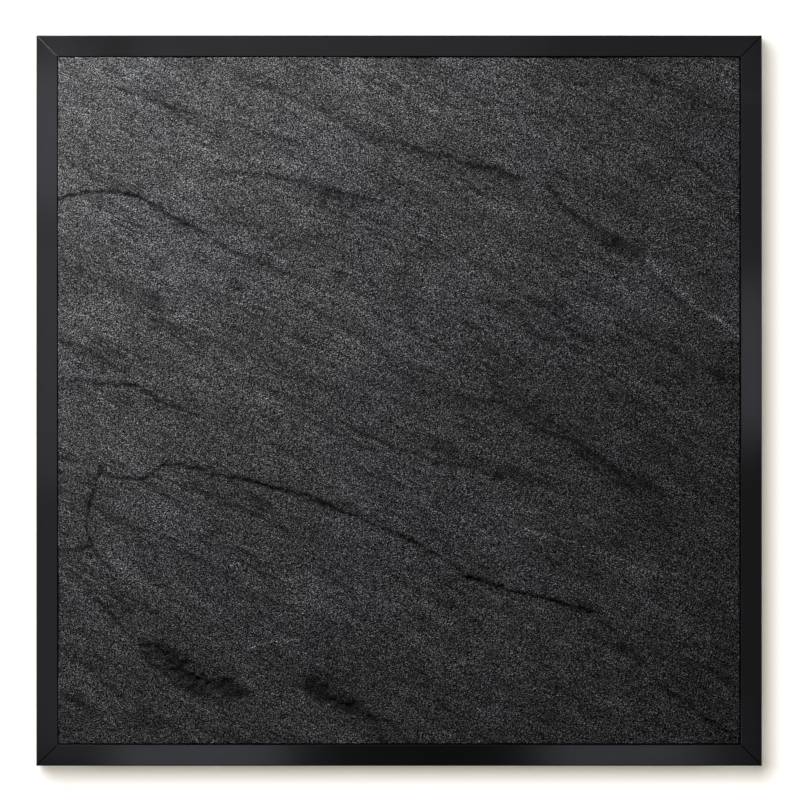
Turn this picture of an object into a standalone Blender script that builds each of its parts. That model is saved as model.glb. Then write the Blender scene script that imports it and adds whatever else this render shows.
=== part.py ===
"""A riven stone slab in a mitred black frame, with its tapes, setting blocks, backing and wall hangers.

Units are metres and +Z is up. The panel hangs upright: its stone face looks along -Y, its bumpers stand on
the wall at y = 0, and the origin is on that wall behind the centre of the panel.
"""

import math

import bmesh
import bpy
import numpy as np
from mathutils import Matrix

# The panel, seen from the front.
PANEL_WIDTH = 0.600
PANEL_HEIGHT = 0.604
FIT = 0.0003  # gap between pieces that touch

# Rail section: a flat face with a lip in front of the slab and a leg behind the lip.
RAIL_FACE = 0.0173
LIP_WIDTH = 0.0068
LIP_THICKNESS = 0.0045
OUTER_ROUNDING = 0.0008
INNER_ROUNDING = 0.0004

# What is stacked behind the lip.
TAPE_THICKNESS = 0.0010
TAPE_SETBACK = 0.0015  # from the lip's inner edge
SLAB_THICKNESS = 0.0093
CUSHION_THICKNESS = 0.0020
BOARD_THICKNESS = 0.0040

# Slab: a rebated margin goes behind the lip, and a riven field stands up inside it, nearly flush.
SLAB_CLEARANCE = 0.0020  # around the slab's edge, filled by the setting blocks
FIELD_GAP = 0.0004  # between the lip and the field
FIELD_RISE = 0.0050  # from the margin to the middle height of the riven face
FIELD_SLOPE = 0.0003
RIVEN_CELLS = 42
RIVEN_PROUD = 0.0009
RIVEN_DEEP = 0.0026

BOARD_CLEARANCE = 0.0008
CUSHION_INSET = 0.0010
BLOCK_LENGTH = 0.040
BLOCK_FROM_CORNER = 0.110

# Wood screws.
SCREW_RADIUS = 0.0015
SCREW_LENGTH = 0.0140
SCREW_POINT = 0.0030
HEAD_RADIUS = 0.0030
HEAD_HEIGHT = 0.0018
HEAD_CROWN = 0.0009
CROSS_WIDTH = 0.0008
CROSS_LENGTH = 0.0034
CROSS_DEPTH = 0.0009
BORE_CLEARANCE = 0.0003

# Turn-buttons, two on each rail.
BUTTON_WIDTH = 0.0090
BUTTON_REACH = 0.0200  # pivot to the centre of the round tip
BUTTON_THICKNESS = 0.0012
BUTTON_FROM_MIDDLE = 0.150

# Corner plates.
PLATE_WIDTH = 0.0090
PLATE_LEG = 0.0450
PLATE_THICKNESS = 0.0015
PLATE_INSET = 0.0008
PLATE_ROUNDING = 0.0020
PLATE_SCREW_FROM_END = 0.0080

# Strap hangers with D-rings.
STRAP_WIDTH = 0.0080
STRAP_LENGTH = 0.0410
STRAP_THICKNESS = 0.0010
STRAP_FROM_LEG = 0.0035  # from the strap's middle to the inner face of the rail's leg
STRAP_SCREWS = (0.0185, 0.0340)  # below the ring's hinge line, clear of the hanging ring
RING_WIRE = 0.0010
RING_LEG = 0.0065
RING_CORNER = 0.0012
RING_PLAY = 0.00035
HANGER_BELOW_BUTTON = 0.048  # from the upper turn-button's pivot to the ring's hinge line

# Bumpers.
BUMPER_RADIUS = 0.0046
BUMPER_HEIGHT = 0.0057
BUMPER_ROUNDING = 0.0008
BUMPER_FROM_CORNER = 0.070

# Depths along Y, from the wall forward.
RAIL_BACK = -BUMPER_HEIGHT - FIT
STACK = TAPE_THICKNESS + SLAB_THICKNESS + CUSHION_THICKNESS + BOARD_THICKNESS + 4 * FIT
RAIL_DEPTH = LIP_THICKNESS + STACK
RAIL_FRONT = RAIL_BACK - RAIL_DEPTH
LIP_BACK = RAIL_FRONT + LIP_THICKNESS
MARGIN_FRONT = LIP_BACK + FIT + TAPE_THICKNESS + FIT
SLAB_BACK = MARGIN_FRONT + SLAB_THICKNESS
BOARD_FRONT = RAIL_BACK - BOARD_THICKNESS
ON_RAIL = RAIL_BACK + FIT  # where hardware lies on the back of the rails

# Distances inward from the panel's outer edge.
LEG_WIDTH = RAIL_FACE - LIP_WIDTH
LEG_MIDDLE = LEG_WIDTH / 2
SLAB_EDGE = LEG_WIDTH + SLAB_CLEARANCE
MARGIN_EDGE = RAIL_FACE + FIELD_GAP
STRAP_EDGE = LEG_WIDTH - STRAP_FROM_LEG

ROUND_STEPS = 12

# Each side's turn about Y, in degrees. Unturned is the bottom: local +X runs along it and +Z points inward.
SIDES = {"bottom": 0, "left": 90, "top": 180, "right": 270}
# Each corner's turn, with its place as signs of X and Z. Unturned, a corner's legs run along +X and +Z.
CORNERS = {
    "bottom_left": (0, -1, -1),
    "top_left": (90, -1, 1),
    "top_right": (180, 1, 1),
    "bottom_right": (270, 1, -1),
}

# Ledges of the riven face, as points (across, up) on the visible face from 0 to 1, with the drop in metres
# from the side above the line to the side below it.
LEDGES = (
    (((0.00, 0.79), (0.12, 0.80), (0.18, 0.76), (0.28, 0.71), (0.36, 0.67)), 0.0012),
    (((0.03, 0.53), (0.11, 0.52), (0.16, 0.50), (0.20, 0.48)), 0.0008),
    (
        (
            (0.07, 0.39),
            (0.18, 0.41),
            (0.29, 0.385),
            (0.43, 0.335),
            (0.56, 0.265),
            (0.68, 0.22),
            (0.78, 0.18),
            (0.90, 0.06),
            (1.00, 0.00),
        ),
        0.0015,
    ),
    (((0.74, 0.77), (0.84, 0.71), (0.91, 0.655), (1.00, 0.59)), -0.0010),
)
# Hollows of the riven face: centre (across, up), half length, half width and depth in metres.
HOLLOWS = (
    ((0.20, 0.10), 0.050, 0.014, 0.0016),
    ((0.45, 0.06), 0.036, 0.010, 0.0014),
    ((0.83, 0.71), 0.030, 0.012, 0.0010),
)
CLEAVAGE_ANGLE = math.radians(-28)
LEDGE_FADE = 0.045


def clear_scene():
    for old in list(bpy.data.objects):
        bpy.data.objects.remove(old, do_unlink=True)


def new_collection(name):
    collection = bpy.data.collections.new(name)
    bpy.context.scene.collection.children.link(collection)
    return collection


def new_material(name, colour, roughness, metallic=0.0):
    material = bpy.data.materials.new(name)
    material.use_nodes = True
    shader = material.node_tree.nodes["Principled BSDF"]
    shader.inputs["Base Color"].default_value = (*colour, 1.0)
    shader.inputs["Roughness"].default_value = roughness
    shader.inputs["Metallic"].default_value = metallic
    material.diffuse_color = (*colour, 1.0)
    return material


def add_object(name, mesh, material, matrix=None):
    """A part of the panel, showing mesh in material."""
    obj = bpy.data.objects.new(name, mesh)
    if material.name not in mesh.materials:
        mesh.materials.append(material)
    PANEL.objects.link(obj)
    if matrix is not None:
        obj.matrix_world = matrix
    return obj


def finish_mesh(bm, name, sharp_angle=None):
    bmesh.ops.recalc_face_normals(bm, faces=bm.faces)
    mesh = bpy.data.meshes.new(name)
    bm.to_mesh(mesh)
    bm.free()
    if sharp_angle is not None:
        mesh.shade_smooth()
        mesh.set_sharp_from_angle(angle=math.radians(sharp_angle))
    return mesh


def baked_mesh(obj, name):
    """The evaluated mesh of obj, welded; obj itself is removed."""
    bpy.context.view_layer.update()
    evaluated = obj.evaluated_get(bpy.context.evaluated_depsgraph_get())
    mesh = bpy.data.meshes.new_from_object(evaluated)
    mesh.name = name
    bm = bmesh.new()
    bm.from_mesh(mesh)
    bmesh.ops.remove_doubles(bm, verts=bm.verts, dist=1e-6)
    bm.to_mesh(mesh)
    bm.free()
    bpy.data.objects.remove(obj, do_unlink=True)
    return mesh


def box_mesh(name, low, high):
    """A box between two corners given as (x, y, z)."""
    bm = bmesh.new()
    size = [b - a for a, b in zip(low, high)]
    middle = [(a + b) / 2 for a, b in zip(low, high)]
    bmesh.ops.create_cube(bm, size=1.0, matrix=Matrix.Translation(middle) @ Matrix.Diagonal((*size, 1.0)))
    return finish_mesh(bm, name)


def arc(centre, radius, start, end, steps):
    """Points on an arc, its angles in degrees."""
    angles = [math.radians(start + (end - start) * i / steps) for i in range(steps + 1)]
    return [(centre[0] + radius * math.cos(a), centre[1] + radius * math.sin(a)) for a in angles]


def plate_mesh(name, outline, holes, thickness):
    """A flat plate with holes. Its outline is in (x, z), and it lies from y = 0 to y = thickness."""
    curve = bpy.data.curves.new(name, "CURVE")
    curve.dimensions = "2D"
    curve.fill_mode = "BOTH"
    curve.extrude = thickness / 2
    for points in (outline, *holes):
        spline = curve.splines.new("POLY")
        spline.points.add(len(points) - 1)
        for point, (across, up) in zip(spline.points, points):
            point.co = (across, up, 0.0, 1.0)
        spline.use_cyclic_u = True
    obj = bpy.data.objects.new(name, curve)
    CUTTERS.objects.link(obj)
    mesh = baked_mesh(obj, name)
    bpy.data.curves.remove(curve)
    upright = Matrix.Translation((0, thickness / 2, 0)) @ Matrix.Rotation(math.radians(90), 4, "X")
    mesh.transform(upright)
    return mesh


def hole(radius, centre=(0.0, 0.0)):
    return arc(centre, radius, 0, 360, ROUND_STEPS)[:-1]


def turned_mesh(name, profile):
    """A profile of (radius, height) points, top to bottom, turned and laid with its top towards +Y."""
    mesh = bpy.data.meshes.new(name)
    mesh.from_pydata([(r, 0, h) for r, h in profile], [(i, i + 1) for i in range(len(profile) - 1)], [])
    obj = bpy.data.objects.new(name, mesh)
    CUTTERS.objects.link(obj)
    turn = obj.modifiers.new("Turn", "SCREW")
    turn.axis = "Z"
    turn.steps = turn.render_steps = ROUND_STEPS
    turn.use_merge_vertices = True
    turn.merge_threshold = 1e-6
    turned = baked_mesh(obj, name)
    turned.transform(Matrix.Rotation(math.radians(-90), 4, "X"))
    turned.shade_smooth()
    turned.set_sharp_from_angle(angle=math.radians(35))
    return turned


def cut_by(obj, cutter_mesh, name):
    """Takes cutter_mesh, which is in obj's own coordinates, out of obj."""
    cutter = bpy.data.objects.new(name, cutter_mesh)
    CUTTERS.objects.link(cutter)
    cutter.matrix_world = obj.matrix_world
    cutter.hide_render = True
    cutter.display_type = "WIRE"
    cut = obj.modifiers.new("Bores", "BOOLEAN")
    cut.operation = "DIFFERENCE"
    cut.solver = "EXACT"
    cut.object = cutter


def bores_mesh(name, centres, radius, front, back):
    """Round bores along Y at each (x, z) of centres."""
    bm = bmesh.new()
    for across, up in centres:
        place = Matrix.Translation((across, (front + back) / 2, up)) @ Matrix.Rotation(math.radians(90), 4, "X")
        bmesh.ops.create_cone(
            bm,
            cap_ends=True,
            segments=ROUND_STEPS,
            radius1=radius,
            radius2=radius,
            depth=back - front,
            matrix=place,
        )
    return finish_mesh(bm, name)


def half_across(side):
    """From the panel's centre to the outer edge of this side."""
    return (PANEL_HEIGHT if side in ("bottom", "top") else PANEL_WIDTH) / 2


def side_length(side):
    return PANEL_WIDTH if side in ("bottom", "top") else PANEL_HEIGHT


def on_side(side, along=0.0, inward=0.0, depth=0.0):
    """The frame of a point on this side: along it from its middle, inward from its outer edge, y = depth."""
    turn = Matrix.Rotation(math.radians(SIDES[side]), 4, "Y")
    return turn @ Matrix.Translation((along, depth, inward - half_across(side)))


def on_corner(corner, depth):
    turn, x_sign, z_sign = CORNERS[corner]
    place = Matrix.Translation((x_sign * PANEL_WIDTH / 2, depth, z_sign * PANEL_HEIGHT / 2))
    return place @ Matrix.Rotation(math.radians(turn), 4, "Y")


def rail_mesh(side):
    """One moulding: its section drawn at one end, drawn out along X, rounded, then mitred at both ends."""
    outline = (
        (RAIL_FRONT, 0.0),
        (RAIL_FRONT, RAIL_FACE),
        (LIP_BACK, RAIL_FACE),
        (LIP_BACK, LEG_WIDTH),
        (RAIL_BACK, LEG_WIDTH),
        (RAIL_BACK, 0.0),
    )
    half = side_length(side) / 2
    bm = bmesh.new()
    section = bm.faces.new([bm.verts.new((-half, y, z)) for y, z in outline])
    drawn = bmesh.ops.extrude_face_region(bm, geom=[section])
    moved = [item for item in drawn["geom"] if isinstance(item, bmesh.types.BMVert)]
    bmesh.ops.translate(bm, verts=moved, vec=(2 * half, 0, 0))
    for inward, rounding in ((0.0, OUTER_ROUNDING), (RAIL_FACE, INNER_ROUNDING)):
        edges = [e for e in bm.edges if all(front_edge(v, inward) for v in e.verts)]
        bmesh.ops.bevel(bm, geom=edges, offset=rounding, segments=3, profile=0.5, affect="EDGES")
    for end in (-1, 1):
        mitre_cut(bm, end, half)
    return finish_mesh(bm, f"rail_{side}", sharp_angle=35)


def front_edge(vert, inward):
    return abs(vert.co.y - RAIL_FRONT) < 1e-6 and abs(vert.co.z - inward) < 1e-6


def mitre_cut(bm, end, half):
    """Cuts the end at 45 degrees, half a fitting gap short of the corner's diagonal."""
    short_of = FIT / 2 * math.sqrt(2)
    cut = bmesh.ops.bisect_plane(
        bm,
        geom=bm.verts[:] + bm.edges[:] + bm.faces[:],
        dist=1e-7,
        plane_co=(end * (half - short_of), 0, 0),
        plane_no=(end, 0, 1),
        clear_outer=True,
    )
    rim = [item for item in cut["geom_cut"] if isinstance(item, bmesh.types.BMEdge)]
    bmesh.ops.edgeloop_fill(bm, edges=rim)


def smooth_noise(across, up, cell, seed):
    """Smooth noise from -1 to 1 with features about one cell wide."""
    lattice = np.random.default_rng(seed).uniform(-1, 1, (64, 64))
    u, v = across / cell + 32, up / cell + 32
    i, j = np.floor(u).astype(int), np.floor(v).astype(int)
    s, t = u - i, v - j
    s, t = s * s * (3 - 2 * s), t * t * (3 - 2 * t)
    low = lattice[i % 64, j % 64] * (1 - s) + lattice[(i + 1) % 64, j % 64] * s
    high = lattice[i % 64, (j + 1) % 64] * (1 - s) + lattice[(i + 1) % 64, (j + 1) % 64] * s
    return low * (1 - t) + high * t


def signed_distance(x, z, line):
    """Distance to a broken line, positive above it, and how far past its ends a point lies."""
    nearest = np.full(x.shape, np.inf)
    signed = np.zeros(x.shape)
    beyond = np.zeros(x.shape)
    for (x0, z0), (x1, z1) in zip(line[:-1], line[1:]):
        along_x, along_z = x1 - x0, z1 - z0
        squared = along_x**2 + along_z**2
        share = ((x - x0) * along_x + (z - z0) * along_z) / squared
        held = np.clip(share, 0, 1)
        distance = np.hypot(x - x0 - held * along_x, z - z0 - held * along_z)
        side = np.sign(along_x * (z - z0) - along_z * (x - x0))
        closer = distance < nearest
        nearest = np.where(closer, distance, nearest)
        signed = np.where(closer, side * distance, signed)
        beyond = np.where(closer, np.abs(share - held) * math.sqrt(squared), beyond)
    return signed, beyond


def riven_height(x, z):
    """How far the riven face stands proud of its middle height at (x, z)."""
    open_width = PANEL_WIDTH - 2 * RAIL_FACE
    open_height = PANEL_HEIGHT - 2 * RAIL_FACE
    along = x * math.cos(CLEAVAGE_ANGLE) + z * math.sin(CLEAVAGE_ANGLE)
    across = z * math.cos(CLEAVAGE_ANGLE) - x * math.sin(CLEAVAGE_ANGLE)
    height = 0.0004 * smooth_noise(along, across, 0.11, 3)
    height += 0.0004 * smooth_noise(along / 2.4, across, 0.03, 5)
    height -= 0.0004
    for line, drop in LEDGES:
        placed = [((u - 0.5) * open_width, (v - 0.5) * open_height) for u, v in line]
        signed, beyond = signed_distance(x, z, placed)
        fade = np.exp(-np.abs(signed) / LEDGE_FADE - beyond / LEDGE_FADE)
        height += drop / 2 * np.tanh(signed / 0.003) * fade
    for (u, v), half_length, half_width, depth in HOLLOWS:
        from_x, from_z = x - (u - 0.5) * open_width, z - (v - 0.5) * open_height
        down_line = from_x * math.cos(CLEAVAGE_ANGLE) + from_z * math.sin(CLEAVAGE_ANGLE)
        off_line = from_z * math.cos(CLEAVAGE_ANGLE) - from_x * math.sin(CLEAVAGE_ANGLE)
        height -= depth * np.exp(-((down_line / half_length) ** 2) - (off_line / half_width) ** 2)
    return np.clip(height, -RIVEN_DEEP, RIVEN_PROUD)


def spread_lines(half, margin):
    """Places of the slab's grid lines: edge, end of the margin, start of the field, then even cells across."""
    inner = half - margin
    field = inner - FIELD_SLOPE
    lines = (0, 1, 2, RIVEN_CELLS - 2, RIVEN_CELLS - 1, RIVEN_CELLS)
    return np.interp(range(RIVEN_CELLS + 1), lines, (-half, -inner, -field, field, inner, half))


def slab_mesh():
    """The slab: a raised riven grid inside a flat rebated margin, drawn back to a flat sawn back."""
    half_width = PANEL_WIDTH / 2 - SLAB_EDGE
    half_height = PANEL_HEIGHT / 2 - SLAB_EDGE
    margin = MARGIN_EDGE - SLAB_EDGE
    columns, rows = spread_lines(half_width, margin), spread_lines(half_height, margin)
    bm = bmesh.new()
    bmesh.ops.create_grid(bm, x_segments=RIVEN_CELLS, y_segments=RIVEN_CELLS, size=1.0)
    for vert in bm.verts:
        column = round((vert.co.x + 1) / 2 * RIVEN_CELLS)
        row = round((vert.co.y + 1) / 2 * RIVEN_CELLS)
        x, z = columns[column], rows[row]
        riven = 1 < column < RIVEN_CELLS - 1 and 1 < row < RIVEN_CELLS - 1
        proud = FIELD_RISE + float(riven_height(np.array([x]), np.array([z]))[0]) if riven else 0.0
        vert.co = (x, MARGIN_FRONT - proud, z)
    edges = [e for e in bm.edges if e.is_boundary]
    drawn = bmesh.ops.extrude_edge_only(bm, edges=edges)
    for item in drawn["geom"]:
        if isinstance(item, bmesh.types.BMVert):
            item.co.y = SLAB_BACK
    back = [e for e in bm.edges if e.is_boundary]
    bmesh.ops.edgeloop_fill(bm, edges=back)
    return finish_mesh(bm, "slab", sharp_angle=50)


def screw_mesh():
    """A cross-headed wood screw whose origin is under its head, its point towards -Y."""
    profile = (
        (0.0, HEAD_HEIGHT),
        (HEAD_RADIUS * 0.6, HEAD_HEIGHT - 0.0001),
        (HEAD_RADIUS * 0.93, HEAD_CROWN),
        (HEAD_RADIUS, 0.0003),
        (HEAD_RADIUS, 0.0),
        (SCREW_RADIUS, 0.0),
        (SCREW_RADIUS, SCREW_POINT - SCREW_LENGTH),
        (0.0, -SCREW_LENGTH),
    )
    plain = turned_mesh("screw_blank", profile)
    blank = bpy.data.objects.new("screw_blank", plain)
    CUTTERS.objects.link(blank)
    middle = HEAD_HEIGHT - CROSS_DEPTH / 2
    bm = bmesh.new()
    for size in ((CROSS_LENGTH, CROSS_WIDTH), (CROSS_WIDTH, CROSS_LENGTH)):
        scale = Matrix.Diagonal((size[0], CROSS_DEPTH + FIT, size[1], 1.0))
        bmesh.ops.create_cube(bm, size=1.0, matrix=Matrix.Translation((0, middle + FIT / 2, 0)) @ scale)
    cross = finish_mesh(bm, "screw_cross")
    cut_by(blank, cross, "screw_cross")
    blank.modifiers["Bores"].use_self = True
    return baked_mesh(blank, "screw")


def button_mesh():
    """A turn-button: a round-ended bar whose origin is its pivot, its tip towards +Z."""
    radius = BUTTON_WIDTH / 2
    outline = arc((0, BUTTON_REACH), radius, 0, 180, 8) + arc((0, 0), radius, 180, 360, 8)
    return plate_mesh("turn_button", outline, [hole(SCREW_RADIUS + BORE_CLEARANCE)], BUTTON_THICKNESS)


def corner_plate_mesh():
    """An L of flat steel whose origin is the panel's corner, its legs along +X and +Z."""
    low, high = PLATE_INSET, PLATE_INSET + PLATE_WIDTH
    end, turn = PLATE_INSET + PLATE_LEG, PLATE_ROUNDING
    outline = (
        arc((low + turn, low + turn), turn, 180, 270, 3)
        + arc((end - turn, low + turn), turn, 270, 360, 3)
        + arc((end - turn, high - turn), turn, 0, 90, 3)
        + [(high, high)]
        + arc((high - turn, end - turn), turn, 0, 90, 3)
        + arc((low + turn, end - turn), turn, 90, 180, 3)
    )
    holes = [hole(SCREW_RADIUS + BORE_CLEARANCE, centre) for centre in plate_screw_places()]
    return plate_mesh("corner_plate", outline, holes, PLATE_THICKNESS)


def plate_screw_places():
    """Where a corner plate's two screws stand, inward along each leg from the panel's corner."""
    far = PLATE_INSET + PLATE_LEG - PLATE_SCREW_FROM_END
    middle = PLATE_INSET + PLATE_WIDTH / 2
    return (far, middle), (middle, far)


def strap_parts():
    """Radii of the strap's rolled eye, inside and outside."""
    inner = RING_WIRE + RING_PLAY
    return inner, inner + STRAP_THICKNESS


def strap_mesh():
    """A strap rolled at its top into an eye. Its origin is on the eye's axis, which runs along X."""
    inner, outer = strap_parts()
    meets = math.degrees(math.asin(math.sqrt(outer**2 - inner**2) / outer))
    # Drawn as (depth, height): the plate lies on the rail side of the eye, at depth -outer.
    outline = arc((0, 0), outer, 180, -180 + meets, 14) + [(-inner, -STRAP_LENGTH), (-outer, -STRAP_LENGTH)]
    mesh = plate_mesh("hanger_strap", outline, [hole(inner)], STRAP_WIDTH)
    # plate_mesh gives depth along X and thickness along Y: a quarter turn about Z swaps them.
    mesh.transform(Matrix.Rotation(math.radians(90), 4, "Z") @ Matrix.Translation((0, -STRAP_WIDTH / 2, 0)))
    return mesh


def ring_mesh():
    """A wire D whose bar lies on X through the origin, hanging down along -Z."""
    reach = STRAP_WIDTH / 2 + FIT + RING_CORNER
    points = arc((reach - RING_CORNER, -RING_CORNER), RING_CORNER, 90, 0, 3)
    points += arc((0, -RING_LEG), reach, 0, -180, 12)
    points += arc((RING_CORNER - reach, -RING_CORNER), RING_CORNER, 180, 90, 3)
    curve = bpy.data.curves.new("hanger_ring", "CURVE")
    curve.dimensions = "3D"
    curve.bevel_depth = RING_WIRE
    curve.bevel_resolution = 2
    spline = curve.splines.new("POLY")
    spline.points.add(len(points) - 1)
    for point, (across, up) in zip(spline.points, points):
        point.co = (across, 0.0, up, 1.0)
    spline.use_cyclic_u = True
    obj = bpy.data.objects.new("hanger_ring", curve)
    CUTTERS.objects.link(obj)
    mesh = baked_mesh(obj, "hanger_ring")
    bpy.data.curves.remove(curve)
    mesh.shade_smooth()
    return mesh


def bumper_mesh():
    """A felt-faced rubber button whose origin is on its stuck face, its flat nose towards +Y."""
    nose = arc((BUMPER_RADIUS - BUMPER_ROUNDING, BUMPER_HEIGHT - BUMPER_ROUNDING), BUMPER_ROUNDING, 90, 0, 3)
    profile = [(0.0, BUMPER_HEIGHT), *nose, (BUMPER_RADIUS, 0.0), (0.0, 0.0)]
    return turned_mesh("bumper", profile)


def build_rails(bores):
    for side in SIDES:
        rail = add_object(f"rail_{side}", rail_mesh(side), LACQUER, on_side(side))
        front = RAIL_BACK - SCREW_LENGTH
        cutter = bores_mesh(f"bores_{side}", bores[side], SCREW_RADIUS + BORE_CLEARANCE, front, RAIL_BACK + FIT)
        cut_by(rail, cutter, f"bores_{side}")


def build_tapes():
    """Foam tape behind each lip: the top and bottom strips run through, the side strips fit between them."""
    depth = LIP_BACK + FIT
    for side in SIDES:
        end = SLAB_EDGE if side in ("bottom", "top") else RAIL_FACE - TAPE_SETBACK + FIT
        half = side_length(side) / 2 - end
        low = (-half, 0, SLAB_EDGE)
        high = (half, TAPE_THICKNESS, RAIL_FACE - TAPE_SETBACK)
        add_object(f"bedding_tape_{side}", box_mesh("tape", low, high), FOAM, on_side(side, depth=depth))


def build_blocks():
    """Setting blocks between the slab's edge and the rails: two under it, two up each side."""
    for side in ("bottom", "left", "right"):
        for end, word in ((-1, "a"), (1, "b")):
            along = end * (side_length(side) / 2 - BLOCK_FROM_CORNER)
            low = (-BLOCK_LENGTH / 2, MARGIN_FRONT, LEG_WIDTH + FIT)
            high = (BLOCK_LENGTH / 2, SLAB_BACK, SLAB_EDGE - FIT)
            mesh = box_mesh("setting_block", low, high)
            add_object(f"setting_block_{side}_{word}", mesh, RUBBER, on_side(side, along))


def build_backing():
    inset = SLAB_EDGE + CUSHION_INSET
    half_width, half_height = PANEL_WIDTH / 2 - inset, PANEL_HEIGHT / 2 - inset
    low = (-half_width, SLAB_BACK + FIT, -half_height)
    high = (half_width, SLAB_BACK + FIT + CUSHION_THICKNESS, half_height)
    add_object("cushion_sheet", box_mesh("cushion_sheet", low, high), FOAM)
    inset = LEG_WIDTH + BOARD_CLEARANCE
    half_width, half_height = PANEL_WIDTH / 2 - inset, PANEL_HEIGHT / 2 - inset
    low = (-half_width, BOARD_FRONT, -half_height)
    high = (half_width, RAIL_BACK, half_height)
    add_object("backing_board", box_mesh("backing_board", low, high), HARDBOARD)


def build_buttons(screw, bores):
    """Two turn-buttons on each rail, each on its own screw, holding the backing board in."""
    mesh = button_mesh()
    for side in SIDES:
        for end, word in ((-1, "a"), (1, "b")):
            along = end * BUTTON_FROM_MIDDLE
            add_object(f"turn_button_{side}_{word}", mesh, ZINC, on_side(side, along, LEG_MIDDLE, ON_RAIL))
            under_head = ON_RAIL + BUTTON_THICKNESS + FIT
            place = on_side(side, along, LEG_MIDDLE, under_head)
            add_object(f"button_screw_{side}_{word}", screw, ZINC, place)
            bores[side].append((along, LEG_MIDDLE))


def build_corner_plates(screw, bores):
    """A flat L across each mitre, with one screw into each of the two rails."""
    mesh = corner_plate_mesh()
    # Turning from one side to the next, a corner's two legs lie on its own side and on the side before it.
    legs = {
        "bottom_left": ("bottom", "left"),
        "top_left": ("left", "top"),
        "top_right": ("top", "right"),
        "bottom_right": ("right", "bottom"),
    }
    for corner, sides in legs.items():
        add_object(f"corner_plate_{corner}", mesh, ZINC, on_corner(corner, ON_RAIL))
        (far, middle), _ = plate_screw_places()
        # The leg along the corner's own X starts its side; the other ends the next side round.
        for side, end in zip(sides, (-1, 1)):
            along = end * (side_length(side) / 2 - far)
            place = on_side(side, along, middle, ON_RAIL + PLATE_THICKNESS + FIT)
            add_object(f"plate_screw_{corner}_{side}", screw, ZINC, place)
            bores[side].append((along, middle))


def build_hangers(screw, bores):
    """A two-screw strap on each upright rail, with a D-ring hanging in its eye."""
    strap, ring = strap_mesh(), ring_mesh()
    _, outer = strap_parts()
    hinge_depth = ON_RAIL + outer
    hinge_height = BUTTON_FROM_MIDDLE - HANGER_BELOW_BUTTON
    screw_holes = [(0.0, -drop) for drop in STRAP_SCREWS]
    hole_cutter = bores_mesh("strap_bores", screw_holes, SCREW_RADIUS + BORE_CLEARANCE, -2 * outer, 0.0)
    for side, sign in (("left", -1), ("right", 1)):
        x = sign * (PANEL_WIDTH / 2 - STRAP_EDGE)
        hinge = Matrix.Translation((x, hinge_depth, hinge_height))
        plate = add_object(f"hanger_strap_{side}", strap, ZINC, hinge)
        cut_by(plate, hole_cutter, f"strap_bores_{side}")
        add_object(f"hanger_ring_{side}", ring, ZINC, hinge)
        for drop, word in zip(STRAP_SCREWS, ("upper", "lower")):
            height = hinge_height - drop
            place = Matrix.Translation((x, ON_RAIL + STRAP_THICKNESS + FIT, height))
            add_object(f"strap_screw_{side}_{word}", screw, ZINC, place)
            bores[side].append((sign * height, STRAP_EDGE))


def build_bumpers():
    mesh = bumper_mesh()
    for side in ("bottom", "top"):
        for end, word in ((-1, "a"), (1, "b")):
            along = end * (side_length(side) / 2 - BUMPER_FROM_CORNER)
            add_object(f"bumper_{side}_{word}", mesh, RUBBER, on_side(side, along, LEG_MIDDLE, ON_RAIL))


clear_scene()
PANEL = new_collection("framed stone slab")
CUTTERS = new_collection("cutters")
STONE = new_material("stone", (0.050, 0.051, 0.054), 0.75)
LACQUER = new_material("black_lacquer", (0.012, 0.012, 0.013), 0.33)
FOAM = new_material("foam", (0.030, 0.030, 0.032), 0.95)
RUBBER = new_material("rubber", (0.020, 0.020, 0.021), 0.80)
HARDBOARD = new_material("hardboard", (0.200, 0.120, 0.065), 0.80)
ZINC = new_material("zinc_plated_steel", (0.560, 0.570, 0.580), 0.35, 1.0)

rail_bores = {side: [] for side in SIDES}
wood_screw = screw_mesh()
add_object("slab", slab_mesh(), STONE)
build_tapes()
build_blocks()
build_backing()
build_buttons(wood_screw, rail_bores)
build_corner_plates(wood_screw, rail_bores)
build_hangers(wood_screw, rail_bores)
build_bumpers()
build_rails(rail_bores)
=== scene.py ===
"""The looks of a riven stone slab in a mitred black frame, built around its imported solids.

Run as a script. Each group of pieces has its own operator, and a panel in the 3D view's sidebar lists them.
"""

import math

import bmesh
import bpy
import numpy as np
from mathutils import Matrix, Vector


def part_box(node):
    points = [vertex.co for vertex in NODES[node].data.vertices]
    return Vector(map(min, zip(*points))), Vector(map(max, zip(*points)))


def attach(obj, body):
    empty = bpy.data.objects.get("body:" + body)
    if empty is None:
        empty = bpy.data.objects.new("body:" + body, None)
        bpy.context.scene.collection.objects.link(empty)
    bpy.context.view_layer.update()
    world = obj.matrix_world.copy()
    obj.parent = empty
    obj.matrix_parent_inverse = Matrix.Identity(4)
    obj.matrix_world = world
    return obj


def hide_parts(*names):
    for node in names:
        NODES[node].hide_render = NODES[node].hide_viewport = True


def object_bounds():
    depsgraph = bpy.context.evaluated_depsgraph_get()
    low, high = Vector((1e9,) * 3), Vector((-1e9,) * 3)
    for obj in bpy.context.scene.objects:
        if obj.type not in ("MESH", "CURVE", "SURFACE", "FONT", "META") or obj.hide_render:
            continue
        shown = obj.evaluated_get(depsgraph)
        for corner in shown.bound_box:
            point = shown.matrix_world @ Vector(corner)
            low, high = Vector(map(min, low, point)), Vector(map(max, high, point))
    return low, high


bl_info = {
    "name": "Framed stone slab",
    "version": (1, 0, 0),
    "blender": (4, 5, 0),
    "location": "3D View > Sidebar > Stone slab",
    "description": "Builds the riven face, the finishes and the studio of a framed stone slab",
    "category": "Object",
}

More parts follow.
